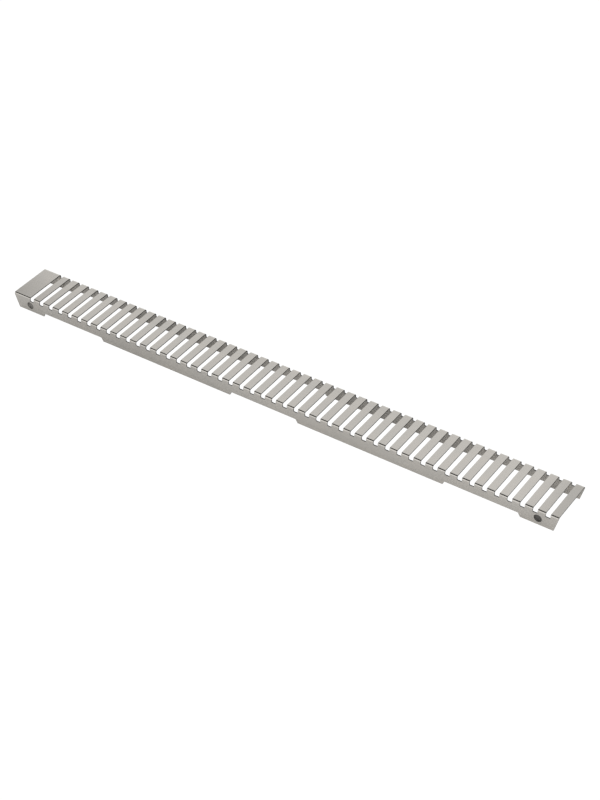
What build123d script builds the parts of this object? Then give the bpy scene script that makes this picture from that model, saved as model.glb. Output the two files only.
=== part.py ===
from build123d import *
import os

# Channel drain grate: one folded sheet with a slotted top and two flanges.
# Millimetres. +X runs along the channel, +Y across it, +Z up.
# Origin: under the middle of the grate, on the plane that the deep parts of
# the flanges stand on.

# ---------------------------------------------------------------- dimensions
pitch = 20.0            # one slot and one bar
slot_width = 7.5        # heel-safe gap
slot_count = 48
blank = 33.2            # plain end before the first slot

sheet = 1.5             # sheet thickness
width = 76.4            # over the outer faces of the flanges
bend_outer = 3.4        # outer radius of both folds
height = 26.8           # top face to the lower edge of a deep flange part
height_shallow = 20.4   # top face to the lower edge of a shallow flange part

slot_drop = 6.9         # how far each slot runs down the flanges
slot_corner = 0.8       # radius in the corners of a slot's end

recess_spacing = 375.0  # between the middles of the raised stretches
recess_width = 121.5    # each one, at half of its height
recess_run = 3.4        # length of the slope at each of its ends
end_run = 6.9           # each flange end leans in by this much

socket_radius = 6.25    # round recesses in the flanges, one near each end
socket_depth = 3.0
socket_wall = 0.8       # sheet is thinned where it is pressed in
socket_floor = 0.5      # radius round a recess's floor
socket_span = 930.0     # between the two recesses of a flange
socket_drop = 15.6      # axis below the top face

# ------------------------------------------------------------------- derived
length = blank + slot_count * pitch
rise = height - height_shallow
half = width / 2
slot_middle = -length / 2 + blank + slot_width / 2 + (slot_count - 1) * pitch / 2
socket_z = height - socket_drop

with BuildPart() as grate:
    # folded section: flat top, two folds and two upright flanges
    with BuildSketch(Plane.YZ.offset(-length / 2)) as section:
        with BuildLine() as fold:
            FilletPolyline(
                (-half, 0), (-half, height), (half, height), (half, 0),
                radius=bend_outer,
            )
            offset(amount=sheet, side=Side.RIGHT)
        make_face()
    extrude(amount=length)

    # raised stretches in the lower edge of both flanges
    with BuildSketch(Plane.XZ) as recesses:
        for middle in (-recess_spacing, 0, recess_spacing):
            low = recess_width / 2 + recess_run / 2
            high = recess_width / 2 - recess_run / 2
            over = recess_run / rise
            with BuildLine():
                Polyline(
                    (middle - low - over, -1), (middle - high, rise),
                    (middle + high, rise), (middle + low + over, -1),
                    close=True,
                )
            make_face()
    extrude(amount=width, both=True, mode=Mode.SUBTRACT)

    # leaning ends of the flanges, cut up to the folds
    with BuildSketch(Plane.XZ) as ends:
        for side in (-1, 1):
            tip = side * length / 2
            foot = tip - side * end_run
            lean = (foot - tip) / (height - bend_outer)
            with BuildLine():
                Polyline(
                    (tip, height - bend_outer), (foot + lean, -1),
                    (tip + side * 2, -1), (tip + side * 2, height - bend_outer),
                    close=True,
                )
            make_face()
    extrude(amount=width, both=True, mode=Mode.SUBTRACT)

    # slots across the full width, over both folds and into the flanges
    with BuildSketch(Plane.XZ) as slots:
        with Locations((slot_middle, height)):
            with GridLocations(pitch, 1, slot_count, 1):
                RectangleRounded(slot_width, 2 * slot_drop, slot_corner)
    extrude(amount=width, both=True, mode=Mode.SUBTRACT)

    # blind round recesses, open on the outer faces of the flanges
    for side in (-1, 1):
        outer_face = Plane.XZ.offset(-side * half)
        with BuildSketch(outer_face.offset(side * sheet / 2)) as sleeves:
            with Locations((0, socket_z)):
                with GridLocations(socket_span, 1, 2, 1):
                    Circle(socket_radius + socket_wall)
        extrude(amount=side * (socket_depth + socket_wall - sheet / 2))
        with BuildSketch(outer_face) as bores:
            with Locations((0, socket_z)):
                with GridLocations(socket_span, 1, 2, 1):
                    Circle(socket_radius)
        extrude(amount=side * socket_depth, mode=Mode.SUBTRACT)

    # soft rims on the closed ends of the recesses
    back_y = half - socket_depth - socket_wall
    rims = [
        e for e in grate.edges().filter_by(GeomType.CIRCLE)
        if abs(abs(e.arc_center.Y) - back_y) < 1e-3
        and abs(e.radius - socket_radius - socket_wall) < 1e-3
    ]
    fillet(rims, radius=1.0)

    # rounded corners round the recesses' floors
    floor_y = half - socket_depth
    corners = [
        e for e in grate.edges().filter_by(GeomType.CIRCLE)
        if abs(abs(e.arc_center.Y) - floor_y) < 1e-3
        and abs(e.radius - socket_radius) < 1e-3
    ]
    fillet(corners, radius=socket_floor)

grate.part.label = "grate"

os.makedirs("parts", exist_ok=True)
export_step(grate.part, "parts/grate.step")
print("length", length, "volume", round(grate.part.volume, 1))
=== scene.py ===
import math

import bpy
from mathutils import Matrix, Vector
from mathutils.geometry import delaunay_2d_cdt


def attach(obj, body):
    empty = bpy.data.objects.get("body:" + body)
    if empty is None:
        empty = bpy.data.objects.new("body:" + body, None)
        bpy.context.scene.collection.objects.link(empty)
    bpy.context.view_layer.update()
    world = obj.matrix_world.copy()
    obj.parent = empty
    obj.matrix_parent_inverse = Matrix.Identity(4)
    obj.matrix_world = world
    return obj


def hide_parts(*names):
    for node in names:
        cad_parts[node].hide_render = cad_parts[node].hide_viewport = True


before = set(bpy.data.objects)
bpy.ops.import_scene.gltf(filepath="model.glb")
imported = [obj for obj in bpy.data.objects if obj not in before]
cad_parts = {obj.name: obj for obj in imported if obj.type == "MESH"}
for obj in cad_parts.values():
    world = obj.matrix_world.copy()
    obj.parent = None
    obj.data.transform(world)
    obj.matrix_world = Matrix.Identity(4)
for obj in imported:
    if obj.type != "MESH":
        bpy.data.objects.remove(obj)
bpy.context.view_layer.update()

# --------------------------------------------------------------- dimensions
# Millimetres, the same values as the construction.
PITCH, SLOT, COUNT, BLANK = 20.0, 7.5, 48, 33.2
T, W, R, H, H_SHALLOW = 1.5, 76.4, 3.4, 26.8, 20.4
SLOT_DROP, SLOT_CORNER = 6.9, 0.8
RECESS_SPACING, RECESS_WIDTH, RECESS_RUN = 375.0, 121.5, 3.4
END_RUN = 6.9
SOCKET_R, SOCKET_DEPTH, SOCKET_WALL = 6.25, 3.0, 0.8
SOCKET_SPAN, SOCKET_DROP = 930.0, 15.6

LENGTH = BLANK + COUNT * PITCH
RISE = H - H_SHALLOW
LEFT, RIGHT = -LENGTH / 2, LENGTH / 2

EDGE = 0.15          # softened arris of every cut edge
EDGE_STEPS = 3
FOLD_STEPS = 14      # facets in each fold
CORNER = 0.45        # rounding where two cut edges meet

# Arc length along the outer skin, from the near flange's foot, over the top,
# to the far flange's foot.
S1 = H - R
S2 = S1 + math.pi / 2 * R
S3 = S2 + W - 2 * R
S4 = S3 + math.pi / 2 * R
S5 = S4 + H - R


def skin(s):
    """Point, outward normal and forward tangent of the section at s, as (y, z)."""
    if s <= S1:
        return (-W / 2, s), (-1.0, 0.0), (0.0, 1.0)
    if s < S2:
        a = (s - S1) / R
        n = (-math.cos(a), math.sin(a))
        return (-W / 2 + R + R * n[0], H - R + R * n[1]), n, (n[1], -n[0])
    if s <= S3:
        return (-W / 2 + R + s - S2, H), (0.0, 1.0), (1.0, 0.0)
    if s < S4:
        a = (s - S3) / R
        n = (math.sin(a), math.cos(a))
        return (W / 2 - R + R * n[0], H - R + R * n[1]), n, (n[1], -n[0])
    return (W / 2, H - R - (s - S4)), (1.0, 0.0), (0.0, -1.0)


def place(x, s, depth):
    p, n, _ = skin(s)
    return Vector((x, p[0] - depth * n[0], p[1] - depth * n[1]))


def out(s):
    n = skin(s)[1]
    return Vector((0.0, n[0], n[1]))


def across(mx, ms, s):
    t = skin(s)[2]
    return Vector((mx, ms * t[0], ms * t[1])).normalized()


# ------------------------------------------------------------ flat outlines
def rounded(corners, steps):
    """A closed line through corners (x, s, radius), rounded. Gives (x, s, mx, ms) with m pointing off the material,
    which lies on the line's left."""
    made = []
    n = len(corners)
    for i in range(n):
        p0, p1, p2 = corners[i - 1], corners[i], corners[(i + 1) % n]
        a = Vector((p1[0] - p0[0], p1[1] - p0[1])).normalized()
        b = Vector((p2[0] - p1[0], p2[1] - p1[1])).normalized()
        na, nb = Vector((a.y, -a.x)), Vector((b.y, -b.x))
        turn = math.atan2(a.x * b.y - a.y * b.x, a.dot(b))
        r = p1[2]
        back = r * math.tan(abs(turn) / 2)
        start = Vector(p1[:2]) - a * back
        sign = 1.0 if turn > 0 else -1.0
        centre = start - na * r * sign
        count = max(2, round(steps * abs(turn) / (math.pi / 2)))
        for j in range(count + 1):
            f = turn * j / count
            m = Vector((na.x * math.cos(f) - na.y * math.sin(f), na.x * math.sin(f) + na.y * math.cos(f)))
            q = centre + m * r * sign
            made.append((q.x, q.y, m.x, m.y))
    return made


FOLD_LINES = [S1 + (S2 - S1) * i / FOLD_STEPS for i in range(FOLD_STEPS + 1)]
FOLD_LINES += [S3 + (S4 - S3) * i / FOLD_STEPS for i in range(FOLD_STEPS + 1)]


def cut_at_folds(loop):
    """Adds a vertex wherever the line crosses a fold line, so that every facet of a fold meets the rim in a vertex."""
    snapped = []
    for x, s, mx, ms in loop:
        for f in FOLD_LINES:
            if abs(s - f) < 0.02:
                s = f
        snapped.append((x, s, mx, ms))
    made = []
    n = len(snapped)
    for i in range(n):
        a, b = snapped[i], snapped[(i + 1) % n]
        made.append(a)
        lo, hi = min(a[1], b[1]), max(a[1], b[1])
        between = sorted((f for f in FOLD_LINES if lo + 1e-6 < f < hi - 1e-6), reverse=a[1] > b[1])
        for f in between:
            w = (f - a[1]) / (b[1] - a[1])
            m = Vector((a[2] * (1 - w) + b[2] * w, a[3] * (1 - w) + b[3] * w)).normalized()
            made.append((a[0] * (1 - w) + b[0] * w, f, m.x, m.y))
    return made


def foot_line():
    """The near flange's lower edge, left to right, as (x, s, radius)."""
    left_foot = LEFT + END_RUN
    right_foot = RIGHT - END_RUN
    points = [(left_foot, 0.0, CORNER)]
    for middle in (-RECESS_SPACING, 0.0, RECESS_SPACING):
        low, high = RECESS_WIDTH / 2 + RECESS_RUN / 2, RECESS_WIDTH / 2 - RECESS_RUN / 2
        points += [
            (middle - low, 0.0, CORNER), (middle - high, RISE, CORNER),
            (middle + high, RISE, CORNER), (middle + low, 0.0, CORNER),
        ]
    return points + [(right_foot, 0.0, CORNER)]


foot = foot_line()
outline = [*foot, (RIGHT, S1, 1.5), (RIGHT, S4, 1.5)]
outline += [(x, S5 - s, r) for x, s, r in reversed(foot)]
outline += [(LEFT, S4, 1.5), (LEFT, S1, 1.5)]
loops = [cut_at_folds(rounded(outline, 5))]

slot_lo, slot_hi = H - SLOT_DROP, S5 - (H - SLOT_DROP)
slot_x = [LEFT + BLANK + PITCH * k for k in range(COUNT)]
for x in slot_x:
    loops.append(cut_at_folds(rounded([
        (x, slot_lo, SLOT_CORNER), (x, slot_hi, SLOT_CORNER),
        (x + SLOT, slot_hi, SLOT_CORNER), (x + SLOT, slot_lo, SLOT_CORNER),
    ], 5)))

socket_s = H - SOCKET_DROP
sockets = [
    (side * SOCKET_SPAN / 2, s)
    for side in (-1, 1) for s in (socket_s, S5 - socket_s)
]


def inside(x, s):
    """Whether a point of the flat pattern is on the sheet, away from its cut edges."""
    z = min(s, S5 - s)
    if z < S1:
        reach = (S1 - z) / S1
        if x < LEFT + END_RUN * reach or x > RIGHT - END_RUN * reach:
            return False
    elif not LEFT < x < RIGHT:
        return False
    if z < RISE:
        for middle in (-RECESS_SPACING, 0.0, RECESS_SPACING):
            if abs(x - middle) < RECESS_WIDTH / 2 + RECESS_RUN / 2 - RECESS_RUN * z / RISE:
                return False
    if slot_lo < s < slot_hi:
        k = math.floor((x - slot_x[0]) / PITCH)
        if 0 <= k < COUNT and x - slot_x[k] < SLOT:
            return False
    return True


# ------------------------------------------------------------------- mesh
verts, normals, cut, bowl, faces = [], [], [], [], []


def vert(p, n, c, b=0.0):
    verts.append(p)
    normals.append(n.normalized())
    cut.append(c)
    bowl.append(b)
    return len(verts) - 1


def face(*ids):
    """Adds a face turned so that its winding agrees with its vertices' normals."""
    ids = [v for i, v in enumerate(ids) if v != ids[i - 1]]
    if len(ids) < 3:
        return
    area = Vector((0, 0, 0))
    for i in range(1, len(ids) - 1):
        area += (verts[ids[i]] - verts[ids[0]]).cross(verts[ids[i + 1]] - verts[ids[0]])
    side = area.dot(sum((normals[i] for i in ids), Vector((0, 0, 0))))
    faces.append(ids if side >= 0 else ids[::-1])


def strip(a, b):
    for i in range(len(a)):
        j = (i + 1) % len(a)
        face(a[i], a[j], b[j], b[i])


def ring_row(loop, steps):
    """Rows of vertices from the outer face, round its arris, down the cut wall and round onto the inner face."""
    rows = []
    quarter = [math.pi / 2 * i / steps for i in range(steps + 1)]
    stations = [(EDGE * (1 - math.sin(a)), EDGE * (1 - math.cos(a)), math.cos(a), math.sin(a)) for a in quarter]
    stations += [(EDGE * (1 - math.cos(a)), T - EDGE * (1 - math.sin(a)), -math.sin(a), math.cos(a)) for a in quarter]
    for number, (inset, depth, up, side) in enumerate(stations):
        c = 0.0 if number in (0, len(stations) - 1) else 1.0
        row = []
        for x, s, mx, ms in loop:
            xs, ss = x - inset * mx, s - inset * ms
            row.append(vert(place(xs, ss, depth), out(ss) * up + across(mx, ms, ss) * side, c))
        rows.append(row)
    for a, b in zip(rows, rows[1:]):
        strip(a, b)
    return rows[0], rows[-1]


outer_loops, inner_loops = [], []
for loop in loops:
    top_row, under_row = ring_row(loop, EDGE_STEPS)
    flat = [(x - EDGE * mx, s - EDGE * ms) for x, s, mx, ms in loop]
    outer_loops.append((top_row, flat, loop))
    inner_loops.append((under_row, flat, loop))

# Sockets: a bore with a softened mouth, and a closed sleeve behind the sheet.
RING = 56
WELD = 0.12
for cx, cs in sockets:
    turns = [2 * math.pi * i / RING for i in range(RING)]
    flip = 1.0 if cs < S5 / 2 else -1.0
    axis = out(cs)

    def circle(radius, depth, radial, along, c, b=0.0):
        row = []
        for a in turns:
            d = Vector((math.cos(a), 0.0, math.sin(a)))
            p = place(cx, cs, depth) + d * radius
            row.append(vert(p, d * radial + axis * along, c, b))
        return row

    def chain(stations):
        rows = [circle(*s) for s in stations]
        for a, b in zip(rows, rows[1:]):
            strip(a, b)
        return rows

    mouth, floor_r, back_r = 0.3, 0.4, 1.0
    stations = []
    for i in range(5):
        a = math.pi / 2 * i / 4
        stations.append((SOCKET_R + mouth * (1 - math.sin(a)), mouth * (1 - math.cos(a)), -math.sin(a), math.cos(a), 0.0, i / 4))
    for i in range(5):
        a = math.pi / 2 * i / 4
        stations.append((SOCKET_R - floor_r * (1 - math.cos(a)), SOCKET_DEPTH - floor_r * (1 - math.sin(a)), -math.cos(a), math.sin(a), 0.0, 1.0))
    stations.append((SOCKET_R * 0.5, SOCKET_DEPTH, 0.0, 1.0, 0.0, 1.0))
    bore = chain(stations)
    middle = vert(place(cx, cs, SOCKET_DEPTH), axis, 0.0, 1.0)
    for i in range(RING):
        face(bore[-1][i], bore[-1][(i + 1) % RING], middle)

    outer_r, deep = SOCKET_R + SOCKET_WALL, SOCKET_DEPTH + SOCKET_WALL
    stations = []
    for i in range(5):
        a = math.pi / 2 * i / 4
        stations.append((outer_r + WELD * (1 - math.sin(a)), T + WELD * (1 - math.cos(a)), math.sin(a), -math.cos(a), 0.0))
    for i in range(7):
        a = math.pi / 2 * i / 6
        stations.append((outer_r - back_r * (1 - math.cos(a)), deep - back_r * (1 - math.sin(a)), math.cos(a), -math.sin(a), 0.0))
    stations.append((outer_r * 0.5, deep, 0.0, -1.0, 0.0))
    sleeve = chain(stations)
    middle = vert(place(cx, cs, deep), -axis, 0.0)
    for i in range(RING):
        face(sleeve[-1][i], sleeve[-1][(i + 1) % RING], middle)

    def flat_ring(radius):
        return [(cx + radius * math.cos(a), cs + flip * radius * math.sin(a)) for a in turns]

    outer_loops.append((bore[0], flat_ring(SOCKET_R + mouth), None))
    inner_loops.append((sleeve[0], flat_ring(outer_r + WELD), None))


def fill(skin_loops):
    """Fills one skin of the sheet between its rims, with an edge along every fold line."""
    points, ids, edges, rings, on_line = [], [], [], [], {}
    for row, flat, loop in skin_loops:
        base = len(points)
        points += [Vector(p) for p in flat]
        ids += row
        rings += [(base + i, base + (i + 1) % len(flat)) for i in range(len(flat))]
        if loop:
            for i, (x, s, _, _) in enumerate(loop):
                if s in FOLD_LINES:
                    on_line.setdefault(s, []).append((x, base + i))
    for s, found in on_line.items():
        found.sort()
        for (xa, a), (xb, b) in zip(found, found[1:]):
            if inside((xa + xb) / 2, s):
                edges.append((a, b))
    made, _, tris, origin, _, _ = delaunay_2d_cdt(points, rings + edges, [], 0, 1e-7, True)
    back = {i: o for o, sources in enumerate(origin) for i in sources}
    rims = {frozenset((back[a], back[b])) for a, b in rings}
    beside = {}
    for t, tri in enumerate(tris):
        for i in range(3):
            beside.setdefault(frozenset((tri[i - 1], tri[i])), []).append(t)
    # From the hull inwards: every rim that is crossed leads from gap to sheet or back.
    solid = {}
    for side, pair in beside.items():
        if len(pair) == 1:
            solid[pair[0]] = side in rims
    queue = list(solid)
    while queue:
        t = queue.pop()
        tri = tris[t]
        for i in range(3):
            side = frozenset((tri[i - 1], tri[i]))
            for other in beside[side]:
                if other not in solid:
                    solid[other] = solid[t] != (side in rims)
                    queue.append(other)
    for t, tri in enumerate(tris):
        if solid[t]:
            face(*[ids[origin[i][0]] for i in tri])


fill(outer_loops)
fill(inner_loops)

mesh = bpy.data.meshes.new("grate_sheet")
mesh.from_pydata([v * 0.001 for v in verts], [], faces)
mesh.update()
tag = mesh.attributes.new("cut_edge", "FLOAT", "POINT")
tag.data.foreach_set("value", cut)
tag = mesh.attributes.new("recess", "FLOAT", "POINT")
tag.data.foreach_set("value", bowl)
mesh.polygons.foreach_set("use_smooth", [True] * len(mesh.polygons))
mesh.normals_split_custom_set_from_vertices([tuple(n) for n in normals])
mesh.validate()
sheet = bpy.data.objects.new("grate_sheet", mesh)
bpy.context.scene.collection.objects.link(sheet)
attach(sheet, "root")
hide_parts("grate")

edge_faces = {}
for p in mesh.polygons:
    for k in p.edge_keys:
        edge_faces[k] = edge_faces.get(k, 0) + 1
print("sheet", len(mesh.vertices), "vertices", len(mesh.polygons), "faces", sum(len(p.vertices) - 2 for p in mesh.polygons), "triangles; open or doubled edges:", sum(1 for n in edge_faces.values() if n != 2))

# --------------------------------------------------------------- material
steel = bpy.data.materials.new("satin_stainless")
steel.use_nodes = True
nodes, links = steel.node_tree.nodes, steel.node_tree.links
nodes.clear()
output = nodes.new("ShaderNodeOutputMaterial")
shader = nodes.new("ShaderNodeBsdfPrincipled")
links.new(shader.outputs["BSDF"], output.inputs["Surface"])
coords = nodes.new("ShaderNodeTexCoord")


def noise(stretch, detail=3.0, rough=0.55):
    """Noise whose grain per metre along x, y and z is given by stretch."""
    place_node = nodes.new("ShaderNodeMapping")
    place_node.inputs["Scale"].default_value = stretch
    links.new(coords.outputs["Object"], place_node.inputs["Vector"])
    node = nodes.new("ShaderNodeTexNoise")
    node.inputs["Scale"].default_value = 1.0
    node.inputs["Detail"].default_value = detail
    node.inputs["Roughness"].default_value = rough
    links.new(place_node.outputs["Vector"], node.inputs["Vector"])
    return node.outputs["Fac"]


def spread(value, low, high, at=(0.3, 0.7)):
    node = nodes.new("ShaderNodeMapRange")
    node.inputs["From Min"].default_value, node.inputs["From Max"].default_value = at
    node.inputs["To Min"].default_value = low
    node.inputs["To Max"].default_value = high
    links.new(value, node.inputs["Value"])
    return node.outputs["Result"]


def calc(operation, a, b):
    node = nodes.new("ShaderNodeMath")
    node.operation = operation
    for socket, value in zip(node.inputs, (a, b)):
        if isinstance(value, (int, float)):
            socket.default_value = value
        else:
            links.new(value, socket)
    return node.outputs["Value"]


def tag_value(name):
    node = nodes.new("ShaderNodeAttribute")
    node.attribute_name = name
    return node.outputs["Fac"]


def blend(factor, a, b, mode="MIX"):
    node = nodes.new("ShaderNodeMix")
    node.data_type = "RGBA"
    node.blend_type = mode
    for name, value in (("Factor", factor), ("A", a), ("B", b)):
        if isinstance(value, (int, float, tuple)):
            node.inputs[name].default_value = value
        else:
            links.new(value, node.inputs[name])
    return node.outputs["Result"]


grain = noise((45.0, 2600.0, 2600.0), 4.0, 0.6)       # fine rolled grain along the length
streak = noise((7.0, 330.0, 330.0), 3.0)              # broader, fainter streaks
cloud = noise((26.0, 34.0, 34.0), 4.0, 0.6)           # slow mottling of the mill finish
coil = noise((3.1, 0.6, 0.6), 1.0)                    # tone drifts along the sheet
place_x = nodes.new("ShaderNodeSeparateXYZ")
links.new(coords.outputs["Object"], place_x.inputs["Vector"])
facing = nodes.new("ShaderNodeSeparateXYZ")
links.new(coords.outputs["Normal"], facing.inputs["Vector"])
upward = spread(facing.outputs["Z"], 0.0, 1.0, (0.7, 0.95))
at_x, at_y = place_x.outputs["X"], place_x.outputs["Y"]
# painted reflection shade: the top's colour is darkened towards its near left corner and over its last bars, standing
# in for reflections of the surroundings
reach = spread(at_x, 1.0, 0.0, (-0.49, -0.3))
corner_painted_shade = calc("MULTIPLY", calc("MULTIPLY", reach, reach), spread(at_y, 0.27, 0.0, (-0.038, 0.038)))
last_bars_painted_shade = calc("ADD", spread(at_x, 0.0, 0.11, (0.43, 0.47)), spread(at_x, 0.0, 0.09, (0.47, 0.49)))
top_painted_shade = calc("MULTIPLY", upward, calc("ADD", corner_painted_shade, last_bars_painted_shade))
# painted reflection shade: the flanges' colour is a little darker left of the middle and at the right end, standing in
# for reflections of the surroundings
flank_painted_shade = calc("MULTIPLY", spread(at_x, 0.0, 0.075, (-0.43, -0.39)), spread(at_x, 1.0, 0.0, (-0.2, -0.04)))
flange_painted_shade = calc("MULTIPLY", calc("SUBTRACT", 1.0, upward), calc("ADD", flank_painted_shade, spread(at_x, 0.0, 0.05, (0.43, 0.46))))
painted_reflection_shade = calc("ADD", top_painted_shade, flange_painted_shade)
pits = noise((2400.0, 2400.0, 2400.0), 2.0)           # torn grain of the punched edges
smudge = noise((11.0, 17.0, 17.0), 5.0, 0.65)         # dull patches from handling
edge_tag, recess_tag = tag_value("cut_edge"), tag_value("recess")

tone = calc("MULTIPLY", spread(grain, 0.99, 1.01), spread(streak, 0.985, 1.012))
tone = calc("MULTIPLY", tone, spread(cloud, 0.98, 1.015))
tone = calc("MULTIPLY", tone, spread(coil, 0.95, 1.04))
# painted reflection shade of the top and flanges darkens the colour here
tone = calc("MULTIPLY", tone, calc("SUBTRACT", 1.0, painted_reflection_shade))
# cut edges are painted nearly black: partly their rougher cut finish, partly painted shade standing in for the dark
# that the slot walls reflect
edge_tone_and_shade = spread(pits, 0.015, 0.04)
tone = calc("MULTIPLY", tone, calc("ADD", calc("MULTIPLY", edge_tag, calc("SUBTRACT", edge_tone_and_shade, 1.0)), 1.0))
recess_painted_shade = spread(place_x.outputs["X"], -0.61, -0.82, (-0.46, 0.46))   # painted shade in the recesses, darker towards the right-hand end
tone = calc("MULTIPLY", tone, calc("ADD", calc("MULTIPLY", recess_tag, recess_painted_shade), 1.0))
grey = nodes.new("ShaderNodeCombineColor")
for channel in ("Red", "Green", "Blue"):
    links.new(tone, grey.inputs[channel])
warm = blend(spread(cloud, 0.0, 1.0, (0.35, 0.65)), (0.64, 0.617, 0.577, 1), (0.645, 0.615, 0.57, 1))
links.new(blend(1.0, warm, grey.outputs["Color"], "MULTIPLY"), shader.inputs["Base Color"])

rough = calc("ADD", spread(grain, 0.17, 0.21), spread(smudge, -0.01, 0.035, (0.45, 0.7)))
rough = calc("ADD", rough, spread(streak, -0.012, 0.012))
rough = calc("ADD", rough, calc("MULTIPLY", edge_tag, 0.16))
rough = calc("ADD", rough, calc("MULTIPLY", recess_tag, 0.3))
links.new(rough, shader.inputs["Roughness"])
links.new(calc("SUBTRACT", 1.0, recess_tag), shader.inputs["Metallic"])

relief = nodes.new("ShaderNodeBump")
relief.inputs["Strength"].default_value = 0.045
relief.inputs["Distance"].default_value = 0.00003
links.new(calc("ADD", grain, calc("MULTIPLY", edge_tag, calc("MULTIPLY", pits, 3.0))), relief.inputs["Height"])
links.new(relief.outputs["Normal"], shader.inputs["Normal"])
sheet.data.materials.append(steel)
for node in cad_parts.values():
    node.data.materials.clear()
    node.data.materials.append(steel)

# ------------------------------------------------------------------ stage
floor_mesh = bpy.data.meshes.new("floor")
floor_mesh.from_pydata([(-20, -20, 0), (20, -20, 0), (20, 20, 0), (-20, 20, 0)], [], [(0, 1, 2, 3)])
floor = bpy.data.objects.new("floor", floor_mesh)
bpy.context.scene.collection.objects.link(floor)
floor.location.z = -0.0002
pale = bpy.data.materials.new("pale_floor")
pale.use_nodes = True
pn, pl = pale.node_tree.nodes, pale.node_tree.links
pn.clear()
paper = pn.new("ShaderNodeBsdfDiffuse")
paper.inputs["Color"].default_value = (0.7, 0.7, 0.7, 1)
bright = pn.new("ShaderNodeEmission")
bright.inputs["Strength"].default_value = 1.05
glow = pn.new("ShaderNodeEmission")
glow.inputs["Strength"].default_value = 0.13
lit = pn.new("ShaderNodeAddShader")
pl.new(paper.outputs["BSDF"], lit.inputs[0])
pl.new(glow.outputs["Emission"], lit.inputs[1])
seen = pn.new("ShaderNodeLightPath")
direct = pn.new("ShaderNodeMixShader")
pl.new(seen.outputs["Is Camera Ray"], direct.inputs["Fac"])
pl.new(lit.outputs["Shader"], direct.inputs[1])
pl.new(bright.outputs["Emission"], direct.inputs[2])
below = pn.new("ShaderNodeNewGeometry")
clear = pn.new("ShaderNodeBsdfTransparent")
one_sided = pn.new("ShaderNodeMixShader")
pl.new(below.outputs["Backfacing"], one_sided.inputs["Fac"])
pl.new(direct.outputs["Shader"], one_sided.inputs[1])
pl.new(clear.outputs["BSDF"], one_sided.inputs[2])
floor_out = pn.new("ShaderNodeOutputMaterial")
pl.new(one_sided.outputs["Shader"], floor_out.inputs["Surface"])
floor_mesh.materials.append(pale)

key = bpy.data.lights.new("key_softbox", "AREA")
key.shape = "SQUARE"
key.size = 1.7
key.energy = 5.9
key_lamp = bpy.data.objects.new("key_softbox", key)
bpy.context.scene.collection.objects.link(key_lamp)
key_lamp.matrix_world = Matrix.Translation((1.3, -0.45, 1.15)) @ Vector((0.95, -0.4, 1.15)).to_track_quat("Z", "Y").to_matrix().to_4x4()

world = bpy.data.worlds.new("studio")
bpy.context.scene.world = world
world.use_nodes = True
wn, wl = world.node_tree.nodes, world.node_tree.links
wn.clear()
direction = wn.new("ShaderNodeTexCoord")
parts = wn.new("ShaderNodeSeparateXYZ")
wl.new(direction.outputs["Generated"], parts.inputs[0])


def ramp(value, low, high, stops, mode="EASE"):
    """Grey levels along a value that runs from low to high; stops are (value, level)."""
    scaled = wn.new("ShaderNodeMapRange")
    scaled.inputs["From Min"].default_value = low
    scaled.inputs["From Max"].default_value = high
    wl.new(value, scaled.inputs["Value"])
    node = wn.new("ShaderNodeValToRGB")
    wl.new(scaled.outputs["Result"], node.inputs["Fac"])
    node.color_ramp.interpolation = mode
    marks = node.color_ramp.elements
    while len(marks) < len(stops):
        marks.new(0.5)
    for mark, (at, _) in zip(marks, stops):
        mark.position = (at - low) / (high - low)
    for mark, (_, level) in zip(marks, stops):
        mark.color = (level, level, level, 1)
    return node.outputs["Color"]


def product(a, b):
    node = wn.new("ShaderNodeMix")
    node.data_type = "RGBA"
    node.blend_type = "MULTIPLY"
    node.inputs["Factor"].default_value = 1.0
    wl.new(a, node.inputs["A"])
    wl.new(b, node.inputs["B"])
    return node.outputs["Result"]


def toward(elevation, azimuth):
    """Cosine between the direction looked at and a fixed one."""
    e, a = math.radians(elevation), math.radians(azimuth)
    node = wn.new("ShaderNodeVectorMath")
    node.operation = "DOT_PRODUCT"
    wl.new(direction.outputs["Generated"], node.inputs[0])
    node.inputs[1].default_value = (math.cos(e) * math.cos(a), math.cos(e) * math.sin(a), math.sin(e))
    return node.outputs["Value"]


def cone(elevation, azimuth, stops):
    """Levels by angle from a fixed direction; stops are (degrees, level), widest first."""
    return ramp(toward(elevation, azimuth), -1.0, 1.0, [(math.cos(math.radians(d)), v) for d, v in stops])


SKY = [(-90, 0.55), (-20, 0.7), (0, 1.2), (22, 1.05), (34, 0.74), (44, 0.86), (52, 0.86), (90, 0.4)]
sky = ramp(parts.outputs["Z"], -1.0, 1.0, [(math.sin(math.radians(d)), v) for d, v in SKY])
# the unlit gap between the overhead and the front-left softbox
gap = cone(55, 214, [(27, 1.0), (20, 0.03), (0, 0.03)])
total = product(sky, gap)
background = wn.new("ShaderNodeBackground")
plain = wn.new("ShaderNodeBackground")
plain.inputs["Strength"].default_value = 1.05
rays = wn.new("ShaderNodeLightPath")
either = wn.new("ShaderNodeMixShader")
world_out = wn.new("ShaderNodeOutputWorld")
wl.new(total, background.inputs["Color"])
wl.new(rays.outputs["Is Camera Ray"], either.inputs["Fac"])
wl.new(background.outputs["Background"], either.inputs[1])
plain.inputs["Color"].default_value = (1, 1, 1, 1)
wl.new(plain.outputs["Background"], either.inputs[2])
wl.new(either.outputs["Shader"], world_out.inputs["Surface"])

# ----------------------------------------------------------------- camera
lens = bpy.data.cameras.new("camera")
camera = bpy.data.objects.new("camera", lens)
bpy.context.scene.collection.objects.link(camera)
turn = Matrix((
    (0.8182835, -0.3381745, 0.4648119),
    (0.5730053, 0.5440089, -0.6129595),
    (-0.0455745, 0.7679143, 0.6389293),
))
camera.matrix_world = Matrix.Translation((1.250492, -1.594168, 1.669312)) @ turn.to_4x4()
lens.sensor_width = 36.0
lens.lens = 78.244
lens.shift_x, lens.shift_y = -0.5 / 800, 0.5 / 800
lens.clip_start, lens.clip_end = 0.05, 100.0
bpy.context.scene.camera = camera
bpy.context.scene.view_settings.view_transform = "Standard"
